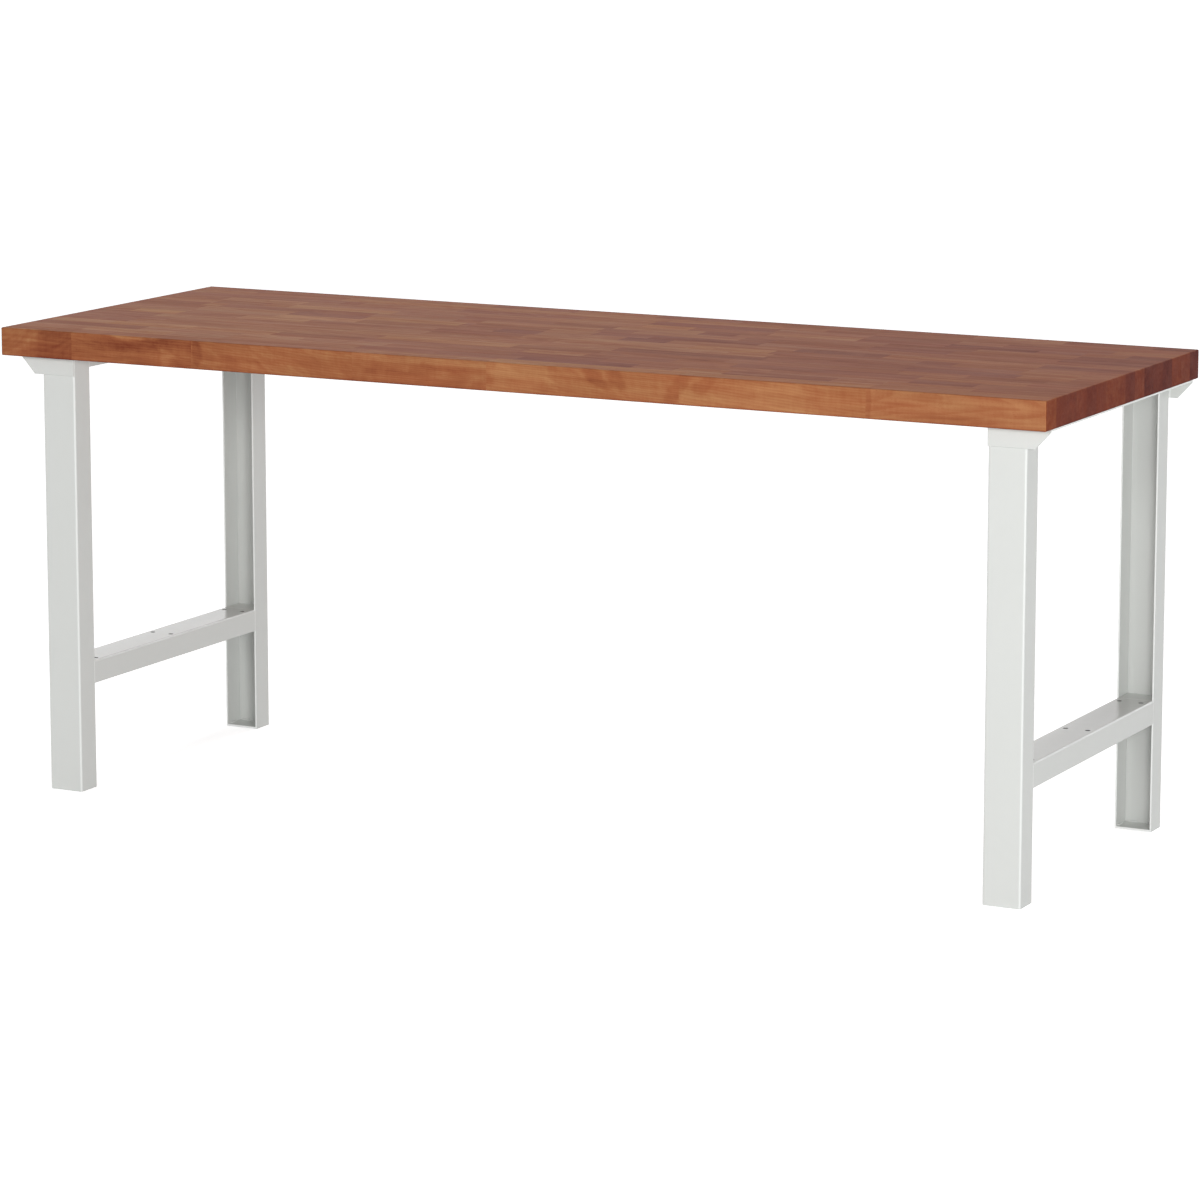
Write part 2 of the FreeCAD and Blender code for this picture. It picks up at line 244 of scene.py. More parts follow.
# Marks in the grain of the front edge: how uneven they are, their rim as a share of their size,
# how deep they go, and for each its middle along and up, half length and height, slant, lightness
MARK_RUFFLE = 1.6
MARK_RIM = (0.55, 1.2)
MARK_DEPTH = (2 * MM, 10 * MM)
GRAIN_MARKS = [
    (-0.975, 0.815, 0.052, 0.120, 0.4, 0.25),
    (-0.719, 0.842, 0.052, 0.010, 0.0, 0.26),
    (-0.722, 0.834, 0.085, 0.020, 0.0, -0.16),
    (-0.650, 0.815, 0.018, 0.030, 0.4, 0.10),
    (-0.588, 0.822, 0.012, 0.030, -0.3, -0.16),
    (-0.545, 0.815, 0.070, 0.060, 0.2, -0.06),
    (-0.150, 0.797, 0.125, 0.028, 0.0, -0.13),
    (0.045, 0.815, 0.055, 0.060, 0.2, 0.10),
    (0.195, 0.824, 0.022, 0.024, -1.0, -0.15),
    (0.232, 0.826, 0.016, 0.026, -0.8, -0.13),
    (0.345, 0.815, 0.018, 0.030, 1.0, -0.12),
    (0.395, 0.826, 0.020, 0.022, 1.1, -0.10),
    (0.545, 0.815, 0.050, 0.060, -0.2, 0.07),
    (0.692, 0.818, 0.005, 0.040, 0.1, -0.10),
    (0.860, 0.815, 0.065, 0.060, 0.2, -0.05),
]


def grain_marks(tree, place, ruffle):
    """Adds up the marks on the front edge; each is an oval with a soft, uneven rim."""
    at = tree.parts(place)
    shake = tree.parts(tree.vector("SUBTRACT", ruffle, (0.5, 0.5, 0.5)))
    total = 0.0
    for x, z, length, height, slant, strength in GRAIN_MARKS:
        up = tree.math("DIVIDE", tree.math("SUBTRACT", at["Z"], z), height)
        along = tree.math("DIVIDE", tree.math("SUBTRACT", at["X"], x), length)
        along = tree.math("MULTIPLY_ADD", up, -slant, along)
        up = tree.math("MULTIPLY_ADD", shake["X"], MARK_RUFFLE, up)
        along = tree.math("MULTIPLY_ADD", shake["Y"], MARK_RUFFLE, along)
        mark = tree.spread(tree.distance(along, up), *MARK_RIM, strength, 0.0)
        total = tree.math("ADD", total, mark)
    full, none = MARK_DEPTH
    on_edge = tree.spread(at["Y"], FRONT_EDGE + full, FRONT_EDGE + none, 1.0, 0.0)
    return tree.math("MULTIPLY", total, on_edge)


def scratches(tree, place):
    """Up to one along the scratches on the upper face, which fade in and out along their run."""
    total = 0.0
    for start, end in SCRATCHES:
        run = Vector(end) - Vector(start)
        out = tree.vector("SUBTRACT", place, tuple(start))
        along = tree.vector("DOT_PRODUCT", out, tuple(run / run.length))
        beside = tree.vector("DOT_PRODUCT", out, (-run.y / run.length, run.x / run.length, 0.0))
        line = tree.spread(tree.math("ABSOLUTE", beside), SCRATCH_LINE, SCRATCH_RIM, 1.0, 0.0)
        line = tree.math("MULTIPLY", line, tree.spread(along, 0.0, run.length / 4))
        line = tree.math("MULTIPLY", line, tree.spread(along, run.length / 2, run.length, 1.0, 0.0))
        total = tree.math("ADD", total, line)
    up = tree.parts(tree.add("NewGeometry").outputs["Normal"])["Z"]
    return tree.math("MULTIPLY", total, tree.spread(up, *SCRATCH_FACING))


def painted_arris_shade(tree, place):
    """How much painted shade the lower arrises get, and the upper ones at the rear and on the left.
    """
    at = tree.parts(place)
    full, none, strength = LOW_ARRIS_SHADE
    low = tree.spread(at["Z"], UNDERSIDE + full, UNDERSIDE + none, strength, 0.0)
    full, none = HIGH_ARRIS_SHADE
    high = tree.spread(at["Z"], TOP - none, TOP - full)
    full, none = REAR_ARRIS_SHADE
    rear = tree.spread(at["Y"], REAR_EDGE - none, REAR_EDGE - full)
    full, none, strength = LEFT_ARRIS_SHADE
    left = tree.spread(at["X"], LEFT_END + full, LEFT_END + none, strength, 0.0)
    return tree.math("MAXIMUM", low, tree.math("MULTIPLY", tree.math("MAXIMUM", rear, left), high))


def make_beech():
    """Oiled beech, in which every block has its own tone, hue, figure and rings."""
    material = bpy.data.materials.new("oiled_beech")
    tree = Tree(material)
    place = tree.add("TexCoord").outputs["Object"]
    along = tree.parts(place)["X"]
    normal = tree.parts(tree.add("NewGeometry").outputs["Normal"])
    seed, pith, lean = (
        tree.add("Attribute", attribute_name="block_" + name).outputs["Vector"]
        for name in ("seed", "pith", "lean"))
    tone, upper, cool, wild = (
        tree.add("Attribute", attribute_name="block_" + name).outputs["Fac"]
        for name in ("tone", "upper", "cool", "wild"))
    own = tree.vector("ADD", place, seed)

    def wood_noise(name, where):
        along_block, across_block, *details = WOOD_NOISE[name]
        where = tree.vector("MULTIPLY", where, (along_block, across_block, across_block))
        return tree.noise(where, 1.0, *details)

    # Rings: distance from the pith line, which leans a little from the length of the block
    drift = tree.add("VectorMath", {0: lean, "Scale": along}, operation="SCALE").outputs["Vector"]
    across = tree.vector("SUBTRACT", tree.vector("SUBTRACT", place, pith), drift)
    across = tree.vector("MULTIPLY", across, (0.0, 1.0, 1.0))
    radius = tree.math("ADD", tree.vector("LENGTH", across),
                       tree.math("MULTIPLY", wood_noise("wander", own), RING_WANDER))
    turn = tree.math("FRACT", tree.math("DIVIDE", radius, RING_WIDTH))
    ring = tree.math("MULTIPLY", tree.spread(turn, *RING_RISE), tree.spread(turn, *RING_FALL))

    # Fibres in four sizes and flecks, all stretched along the block
    slow = tree.vector("SUBTRACT", own, drift)
    fibres = {name: wood_noise(name, slow if name in ("broad", "band") else own)
              for name in FIBRE_WEIGHTS}
    fleck = tree.spread(wood_noise("fleck", own), *FLECK_LIMITS)

    # Figure: cloudy flames across the fibres, stronger in some blocks
    swerve = tree.vector("SUBTRACT", own, tree.vector("MULTIPLY", drift, (FLAME_SWERVE,) * 3))
    flame = tree.math("MULTIPLY", tree.math("SUBTRACT", wood_noise("flame", swerve), 0.5), wild)
    ray = tree.math("SUBTRACT", wood_noise("ray", own), 0.5)
    ruffle = tree.add("TexNoise", {
        "Vector": own, "Scale": RUFFLE_SCALE, "Detail": 3.0}).outputs["Color"]

    # The tone of a point: the block's own, then what the grain adds
    facing_up = tree.spread(normal["Z"], *FACING)
    tone = tree.math("MULTIPLY_ADD", tree.math("SUBTRACT", upper, tone), facing_up, tone)
    grain = 0.0
    for name, weight in FIBRE_WEIGHTS.items():
        grain = tree.math("MULTIPLY_ADD", fibres[name], weight, grain)
    grain = tree.math("SUBTRACT", grain, GRAIN_MEAN)
    on_front = tree.spread(normal["Y"], -FACING[1], -FACING[0], 1.0, 0.0)
    calm = tree.math("MULTIPLY", tree.spread(along, CALM_START, CALM_FULL), on_front)
    grain = tree.math("MULTIPLY_ADD", tree.math("MULTIPLY", grain, calm), -CALM_SHARE, grain)
    value = tree.math("ADD", tree.math("ADD", tone, GRAIN_MEAN), grain)
    value = tree.math("ADD", flame, value)
    value = tree.math("MULTIPLY_ADD", ray, RAY_WEIGHT, value)
    value = tree.math("MULTIPLY_ADD", ring, RING_WEIGHT, value)
    value = tree.math("MULTIPLY_ADD", fleck, FLECK_WEIGHT, value)
    value = tree.math("ADD", grain_marks(tree, place, ruffle), value)
    value = tree.math("MULTIPLY_ADD", scratches(tree, place), SCRATCH_WEIGHT, value)

    # Blocks differ more on their ends, and painted shade darkens the arrises
    end = tree.spread(tree.math("ABSOLUTE", normal["X"]), *FACING)
    own_end = tree.math("MULTIPLY", tree.math("SUBTRACT", tone, END_TONE), end)
    value = tree.math("MULTIPLY_ADD", own_end, END_CONTRAST, value)
    value = tree.math("MULTIPLY_ADD", painted_arris_shade(tree, place), ARRIS_SHADE_WEIGHT, value)
    value = tree.math("SUBTRACT", value, TONE_SHIFT)

    # From the tone to a colour; some blocks are cooler, and the hue wanders a little
    ramp = tree.add("ValToRGB", {"Fac": value})
    first, last = ramp.color_ramp.elements
    first.color, last.color = DARK_WOOD, LIGHT_WOOD
    ramp.color_ramp.elements.new(0.5).color = MIDDLE_WOOD
    wood = ramp.outputs["Color"]
    wood = tree.mix(cool, wood, tree.mix(1.0, wood, COOL_TINT, "MULTIPLY"))
    hue = tree.spread(wood_noise("hue", own), *HUE_LIMITS)
    wood = tree.mix(1.0, wood, tree.mix(hue, *HUE_TINTS), "MULTIPLY")

    # Ends of the blocks are darker, because end grain drinks the oil
    wood = tree.mix(end, wood, tree.mix(1.0, wood, END_TINT, "MULTIPLY"))

    streak = fibres["streak"]
    height = tree.math("ADD", tree.math("MULTIPLY", fibres["fibre"], 0.7),
                       tree.math("MULTIPLY", streak, 0.5))
    height = tree.math("SUBTRACT", height, tree.math("MULTIPLY", fleck, 0.35))
    bump = tree.add("Bump", {"Strength": 0.35, "Distance": 0.06 * MM, "Height": height})
    roughness = tree.spread(tree.math("ADD", streak, fibres["broad"]), 0.7, 1.3, 0.7, 0.6)
    tree.surface(tree.add("BsdfPrincipled", {
        "Base Color": wood, "Roughness": roughness, "Normal": bump.outputs[0],
        "Specular IOR Level": 0.15}))
    return material


# Powder coat: a fine orange peel over folded sheet, with a coat that varies a little, painted
# highlights on its bends and cut edges, and painted shade in the rails' holes

# How far from a hole's or a bend's middle its painted shade or painted highlight is full, and
# where it ends, and how wide the painted highlight on a cut edge is
HOLE_SHADE_RIM = (4.4 * MM, 5.2 * MM)
BEND_HIGHLIGHT_LINE = (1.8 * MM, 3.2 * MM)
CUT_EDGE_HIGHLIGHT_BAND = 0.6 * MM

# Noise in the coat, in waves per metre: slow clouds, mottle, orange peel and the finest grain
CLOUD_SCALE = 5.0
MOTTLE_SCALE = 60.0
PEEL_SCALE = 700.0
GRAIN_SCALE = 3200.0


def painted_hole_shade(tree, place, frame_centre):
    """One where shade is painted on the wall and the sharp rim of the holes in a cross rail, nought
    elsewhere.
    """
    at = tree.parts(place)
    across = tree.math("ABSOLUTE", tree.math("SUBTRACT", at["X"], frame_centre))
    across = tree.math("SUBTRACT", across, HOLE_PAIR / 2)
    nearest = tree.math("SNAP", tree.math("ADD", at["Y"], HOLE_PITCH / 2), HOLE_PITCH)
    along = tree.math("SUBTRACT", at["Y"], nearest)
    return tree.spread(tree.distance(across, along), *HOLE_SHADE_RIM, 1.0, 0.0)


def painted_cut_edge_highlight(tree, place):
    """One where a highlight is painted: the cut edges of the legs' flanges and the outer edges of
    the head plates.
    """
    at = tree.parts(place)
    total = tree.math("COMPARE", tree.math("ABSOLUTE", at["Y"]), LEG_LIP, CUT_EDGE_HIGHLIGHT_BAND)
    for edge in PLATE_EDGES:
        total = tree.math("MAXIMUM", total, tree.math("COMPARE", at["X"], edge, CUT_EDGE_HIGHLIGHT_BAND))
    return total


def painted_bend_highlight(tree, place):
    """One where a highlight is painted on the outer bends of the legs and rails, nought elsewhere.
    """
    at = tree.parts(place)
    depth = tree.math("ABSOLUTE", at["Y"])
    between_legs = tree.spread(depth, LEG_LIP - 1 * MM, LEG_LIP, 1.0, 0.0)
    in_leg = tree.math("SUBTRACT", depth, LEG_FACE)
    in_rail = tree.math("SUBTRACT", at["Z"], RAIL_TOP)
    total = 0.0
    for bend in BENDS:
        across = tree.math("SUBTRACT", at["X"], bend)
        for off, share in ((in_leg, 1.0), (in_rail, between_legs)):
            near = tree.spread(tree.distance(across, off), *BEND_HIGHLIGHT_LINE, 1.0, 0.0)
            total = tree.math("MAXIMUM", total, tree.math("MULTIPLY", near, share))
    return total


def make_powder_coat(name, frame_centre=None):
    """The coat of a piece, with its painted highlights; with the X of a frame's middle it also has
    painted shade in that rail's holes.
    """
    material = bpy.data.materials.new(name)
    tree = Tree(material)
    place = tree.add("TexCoord").outputs["Object"]
    cloud = tree.noise(place, CLOUD_SCALE, 3.0)
    mottle = tree.noise(place, MOTTLE_SCALE, 3.0)
    peel = tree.noise(place, PEEL_SCALE, 2.0)
    grain = tree.noise(place, GRAIN_SCALE, 1.0)
    shade = tree.spread(
        tree.math("ADD", tree.math("MULTIPLY", cloud, 0.6), tree.math("MULTIPLY", mottle, 0.4)),
        0.35, 0.65)
    coat = tree.mix(shade, *COATS)
    # Painted highlight along the outer bends
    coat = tree.mix(painted_bend_highlight(tree, place), coat, BEND_HIGHLIGHT_COAT)
    # Painted highlight on the cut edges
    coat = tree.mix(painted_cut_edge_highlight(tree, place), coat, CUT_EDGE_HIGHLIGHT_COAT)
    if frame_centre is not None:
        # Painted shade in the rail's holes
        coat = tree.mix(painted_hole_shade(tree, place, frame_centre), coat, HOLE_SHADE_COAT)
    height = tree.math("ADD", peel, tree.math("MULTIPLY", grain, 0.25))
    rounded = tree.add("Bevel", {"Radius": 1.1 * MM}, samples=4)
    bump = tree.add("Bump", {
        "Strength": 0.04, "Distance": 0.03 * MM, "Height": height, "Normal": rounded.outputs[0]})
    roughness = tree.spread(tree.math("ADD", mottle, peel), 0.7, 1.3, 0.2, 0.23)
    tree.surface(tree.add("BsdfPrincipled", {
        "Base Color": coat, "Roughness": roughness, "Normal": bump.outputs[0],
        "Specular IOR Level": 0.5}))
    return material


# Zinc: dull bright metal with the small crystals of the plating

CRYSTAL_SCALE = 900.0
STAIN_SCALE = 180.0


def make_zinc():
    material = bpy.data.materials.new("zinc_plate")
    tree = Tree(material)
    place = tree.add("TexCoord").outputs["Object"]
    crystal = tree.add("TexVoronoi", {
        "Vector": place, "Scale": CRYSTAL_SCALE}).outputs["Distance"]
    stain = tree.noise(place, STAIN_SCALE, 3.0)
    metal = tree.mix(tree.spread(stain, 0.3, 0.7), *ZINCS)
    roughness = tree.spread(tree.math("ADD", crystal, stain), 0.3, 1.2, 0.28, 0.5)
    bump = tree.add("Bump", {"Strength": 0.25, "Distance": 0.05 * MM, "Height": crystal})
    tree.surface(tree.add("BsdfPrincipled", {
        "Base Color": metal, "Metallic": 1.0, "Roughness": roughness,
        "Normal": bump.outputs[0]}))
    return material


def dress(thing, material):
    thing.data.materials.clear()
    thing.data.materials.append(material)


# The top: every stave is cut into the blocks it is glued from

SHORTEST_BLOCK = 0.14
LONGEST_BLOCK = 0.36

# No joint is drawn this near to a marked block, and none at all this near to the ends
CLEAR_OF_MARKED = 0.07
CLEAR_OF_END = 0.02

# What each block has of its own, and how the mesh keeps it: how light it is, and its upper
# face, how cool its hue and how wild its figure are, where its grain is taken from, where the
# pith of its tree is, and how the pith leans per metre
BLOCK_LAYERS = {
    "tone": "float", "upper": "float", "cool": "float", "wild": "float",
    "seed": "float_vector", "pith": "float_vector", "lean": "float_vector",
}

# Ranges of what is drawn for a block: how wild, the pith's distance in millimetres, how far off
# its grain is taken from, and the lean; the cool share falls as the tone rises
BLOCK_SEED = 4100
WILD_RANGE = (0.15, 0.5)
PITH_RANGE = (30, 120)
SEED_REACH = 9
LEAN_REACH = 0.05
COOL_MEAN = 1.05
COOL_SLOPE = -1.2
COOL_SPREAD = 0.2

# A drawn tone: its mean at the middle of the bench, the change per metre to the right, a painted
# sheen that leaves the left lighter, the spread and the limits
DRAWN_TONE = 0.47
DRAWN_SHEEN_SLOPE = -0.1
DRAWN_SPREAD = 0.055
DRAWN_LIMITS = (0.25, 0.64)

# A marked tone: how strongly it stands off MID at the middle of the bench, how that changes per
# metre to the right, and how the tone itself does, a painted sheen that leaves the left lighter
MARKED_CONTRAST = 0.93
CONTRAST_SLOPE = 0.12
MARKED_SHEEN_SLOPE = -0.08

# Blocks of the front stave: less cool than the others, and wilder on the left; then where each
# ends, how light its front is, and its upper face
FRONT_COOL_SHARE = 0.2
FRONT_WILD = 0.34
FRONT_WILD_SLOPE = -0.24
FRONT_BLOCKS = [
    (-0.850, 0.24, 0.44), (-0.600, 0.42, 0.41), (-0.275, 0.51, 0.38), (-0.0125, 0.545, 0.465),
    (0.350, 0.57, 0.62), (0.687, 0.575, 0.525), (RIGHT_END, 0.56, 0.44),
]

# Blocks that stand out on the upper face, by stave: start, end, how light
DARK = 0.29
DEEP = 0.37
MID = 0.45
PALE = 0.57
MARKED_BLOCKS = {
    # The two pale blocks at the left of stave 2 are a painted sheen patch
    2: [(-0.860, -0.685, PALE), (-0.685, -0.570, PALE), (-0.570, -0.300, MID),
        (0.015, 0.235, DARK), (0.235, 0.315, MID), (0.315, 0.405, PALE), (0.405, 0.600, DEEP),
        (0.600, 0.690, PALE), (0.850, RIGHT_END, MID)],
    3: [(-0.570, -0.440, PALE), (-0.270, -0.021, DEEP), (-0.021, 0.155, DEEP),
        (0.720, 0.835, DEEP)],
    4: [(-0.865, -0.695, PALE), (-0.521, -0.345, DEEP), (-0.345, -0.020, MID),
        (0.379, 0.715, DEEP), (0.715, 0.906, PALE)],
    5: [(LEFT_END, -0.850, DEEP), (-0.850, -0.560, MID), (-0.330, -0.065, PALE),
        (0.105, 0.345, DEEP), (0.345, 0.660, MID), (0.660, 0.780, PALE), (0.920, RIGHT_END, DEEP)],
    6: [(LEFT_END, -0.800, DEEP), (-0.800, -0.420, MID), (0.110, 0.391, DARK),
        (0.391, 0.647, MID), (0.647, 0.855, DEEP), (0.855, 0.950, PALE)],
    7: [(LEFT_END, -0.850, DEEP), (-0.675, -0.485, PALE), (-0.290, -0.030, DEEP),
        (-0.030, 0.300, PALE), (0.380, 0.500, DEEP), (0.500, 0.840, MID), (0.945, RIGHT_END, PALE)],
    8: [(-0.930, -0.830, PALE), (-0.830, -0.700, DEEP), (-0.560, -0.300, MID),
        (-0.115, 0.210, PALE), (0.210, 0.365, PALE), (0.640, 0.705, DEEP), (0.705, 0.842, MID),
        (0.842, RIGHT_END, PALE)],
    9: [(-0.830, -0.650, PALE), (-0.477, -0.278, DEEP), (-0.195, -0.110, DARK),
        (-0.110, 0.055, PALE), (0.055, 0.147, DARK), (0.147, 0.391, MID), (0.391, 0.560, DARK),
        (0.560, 0.842, PALE), (0.842, RIGHT_END, DEEP)],
    10: [(LEFT_END, -0.840, DEEP), (-0.840, -0.646, PALE), (-0.646, -0.490, DEEP),
         (-0.490, -0.290, PALE), (-0.271, -0.115, DEEP), (-0.020, 0.092, DEEP),
         (0.092, 0.304, DARK), (0.304, 0.641, PALE), (0.830, RIGHT_END, PALE)],
    11: [(LEFT_END, -0.860, DEEP), (-0.820, -0.500, DEEP), (-0.500, -0.330, PALE),
         (-0.330, -0.275, DEEP), (-0.035, 0.035, DARK), (0.035, 0.245, PALE),
         (0.245, 0.305, DEEP), (0.490, 0.640, DEEP), (0.640, 0.842, MID), (0.842, RIGHT_END, DARK)],
    12: [(-0.860, -0.750, DEEP), (-0.700, -0.480, PALE), (-0.150, -0.022, DEEP),
         (-0.022, 0.145, PALE), (0.145, 0.215, DARK), (0.300, 0.497, MID), (0.497, 0.666, DEEP),
         (0.666, 0.854, MID), (0.854, RIGHT_END, DEEP)],
    13: [(LEFT_END, -0.868, DEEP), (-0.700, -0.350, MID), (0.105, 0.260, DEEP),
         (0.260, 0.430, PALE), (0.430, 0.597, MID), (0.597, 0.766, DARK), (0.850, 0.930, PALE),
         (0.930, RIGHT_END, DARK)],
    14: [(-0.640, -0.600, DEEP), (0.005, 0.250, DEEP), (0.430, 0.600, DEEP)],
    15: [(-0.330, -0.190, PALE), (0.330, 0.425, DEEP)],
    16: [(LEFT_END, -0.790, DEEP), (-0.365, -0.190, DEEP), (-0.025, 0.145, DEEP),
         (0.322, 0.597, DEEP), (0.597, 0.765, PALE), (0.930, RIGHT_END, DARK)],
}


def block_ends(chance, marked):
    """Places along a stave where one block meets the next, with the marked blocks kept whole."""
    ends = []
    at = LEFT_END - chance.uniform(0, SHORTEST_BLOCK)
    while at < RIGHT_END:
        at += chance.uniform(SHORTEST_BLOCK, LONGEST_BLOCK)
        ends.append(at)
    for start, end, _ in marked:
        ends = [spot for spot in ends
                if not start - CLEAR_OF_MARKED < spot < end + CLEAR_OF_MARKED]
    ends += [spot for start, end, _ in marked for spot in (start, end)]
    return sorted({spot for spot in ends
                   if LEFT_END + CLEAR_OF_END < spot < RIGHT_END - CLEAR_OF_END})


def block_values(chance, number, middle, marked, centre):
    """What a block has of its own, by the names of its layers; its tone also carries painted sheen.
    """
    in_front = number == FRONT_STAVE
    lowest, highest = DRAWN_LIMITS
    # Painted sheen: the tone falls to the right, so the left is lighter
    tone = chance.gauss(DRAWN_TONE + DRAWN_SHEEN_SLOPE * middle, DRAWN_SPREAD)
    tone = min(max(tone, lowest), highest)
    for first, last, wanted in marked:
        if first < middle < last:
            tone = wanted
            if not in_front:
                contrast = MARKED_CONTRAST + CONTRAST_SLOPE * middle
                tone = MID + (wanted - MID) * contrast + MARKED_SHEEN_SLOPE * middle
    upper = tone
    if in_front:
        upper = next(light for last, _, light in FRONT_BLOCKS if middle < last)
    angle = chance.uniform(0, 2 * math.pi)
    away = chance.uniform(*PITH_RANGE) * MM
    cool = min(max(chance.gauss(COOL_MEAN + COOL_SLOPE * tone, COOL_SPREAD), 0.0), 1.0)
    if in_front:
        cool *= FRONT_COOL_SHARE
        wild = FRONT_WILD + FRONT_WILD_SLOPE * middle
    else:
        wild = chance.uniform(*WILD_RANGE)
    return {
        "tone": tone,
        "upper": upper,
        "cool": cool,
        "wild": wild,
        "seed": Vector([chance.uniform(-SEED_REACH, SEED_REACH) for _ in range(3)]),
        "pith": Vector((0, centre.y + away * math.cos(angle),
                        centre.z + away * math.sin(angle))),
        "lean": Vector([0] + [chance.uniform(-LEAN_REACH, LEAN_REACH) for _ in range(2)]),
    }


def make_stave(number, name, material):
    """A stave as packed, with its faces cut where one block meets the next."""
    chance = random.Random(BLOCK_SEED + number)
    if number == FRONT_STAVE:
        starts = [LEFT_END] + [end for end, _, _ in FRONT_BLOCKS]
        marked = [(start, end, tone) for start, (end, tone, _) in zip(starts, FRONT_BLOCKS)]
    else:
        marked = MARKED_BLOCKS[number]
    cuts = block_ends(chance, marked)

    work = bmesh.new()
    work.from_mesh(NODES[name].data)
    bmesh.ops.remove_doubles(work, verts=work.verts, dist=0.01 * MM)
    for cut in cuts:
        bmesh.ops.bisect_plane(
            work, geom=work.verts[:] + work.edges[:] + work.faces[:],
            plane_co=(cut, 0, 0), plane_no=(1, 0, 0), dist=0.001 * MM)

    low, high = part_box(name)
    blocks = [(end, block_values(chance, number, (start + end) / 2, marked, (low + high) / 2))
              for start, end in zip([LEFT_END] + cuts, cuts + [RIGHT_END])]
    layers = {label: getattr(work.faces.layers, kind).new("block_" + label)
              for label, kind in BLOCK_LAYERS.items()}
    for face in work.faces:
        where = face.calc_center_median().x
        values = next(values for end, values in blocks if where < end + MM)
        for label, layer in layers.items():
            face[layer] = values[label]
        face.smooth = False

    mesh = bpy.data.meshes.new("beech_" + name)
    work.to_mesh(mesh)
    work.free()
    stave = bpy.data.objects.new("beech_stave_%02d" % number, mesh)
    bpy.context.scene.collection.objects.link(stave)
    dress(stave, material)
    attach(stave, "root")
    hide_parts(name)


# The welds that hold a side frame together: rippled beads in its inner corners

# How a bead is made: between its rings, and from one ripple to the next
BEAD_STEP = 0.7 * MM
BEAD_SIDES = 10
FEWEST_RINGS = 8
RIPPLE = 2.8 * MM

# Shares of its radius: its ripples, its unevenness and the length of a rounded end
RIPPLE_SHARE = 0.09
UNEVEN_SHARE = 0.03
END_LENGTH = 1.5

# Radii of the beads, how far a bead's middle is sunk into the wall beside it, and how far it is
# below the top of the leg and above the foot plate
HEAD_BEAD = 2.2 * MM
TONGUE_BEAD = 2.2 * MM
FOOT_BEAD = 2.0 * MM
RAIL_BEAD = 1.9 * MM
SUNK = 0.6 * MM
UNDER_HEAD = 0.2 * MM
ABOVE_FOOT = 0.5 * MM

# Runs along the web from the middle of the leg, and along its sides from their free edges,
# and how far a rail's bead stops short of its lower and upper edges
WEB_RUNS = ((-27 * MM, -7 * MM), (7 * MM, 27 * MM))
TONGUE_RUN = (-25 * MM, 25 * MM)
SIDE_RUN = (8 * MM, 30 * MM)
RAIL_INSETS = (4 * MM, 6 * MM)


def add_bead(work, start, end, radius, chance):
    """A bead between two points, with a rounded end at each and uneven ripples on it."""
    run = Vector(end) - Vector(start)
    forward = run.normalized()
    beside = forward.orthogonal().normalized()
    above = forward.cross(beside)
    phase = chance.uniform(0, 2 * math.pi)
    count = max(int(run.length / BEAD_STEP), FEWEST_RINGS)
    tip_length = END_LENGTH * radius
    rings = []
    for step in range(1, count):
        at = run.length * step / count
        near_end = min(at, run.length - at, tip_length) / tip_length
        swell = 1 + RIPPLE_SHARE * math.sin(2 * math.pi * at / RIPPLE + phase)
        swell += chance.uniform(-UNEVEN_SHARE, UNEVEN_SHARE)
        size = radius * swell * math.sqrt(1 - (1 - near_end) ** 2)
        middle = Vector(start) + forward * at
        ring = []
        for turn in range(BEAD_SIDES):
            angle = 2 * math.pi * turn / BEAD_SIDES
            ring.append(work.verts.new(
                middle + size * (math.cos(angle) * beside + math.sin(angle) * above)))
        rings.append(ring)
    for ring, after in zip(rings, rings[1:]):
        for turn in range(BEAD_SIDES):
            other = (turn + 1) % BEAD_SIDES
            work.faces.new((ring[turn], ring[other], after[other], after[turn]))
    for tip, ring, flip in ((start, rings[0], True), (end, rings[-1], False)):
        point = work.verts.new(tip)
        for turn in range(BEAD_SIDES):
            corner = (ring[turn], ring[(turn + 1) % BEAD_SIDES], point)
            work.faces.new(corner[::-1] if flip else corner)


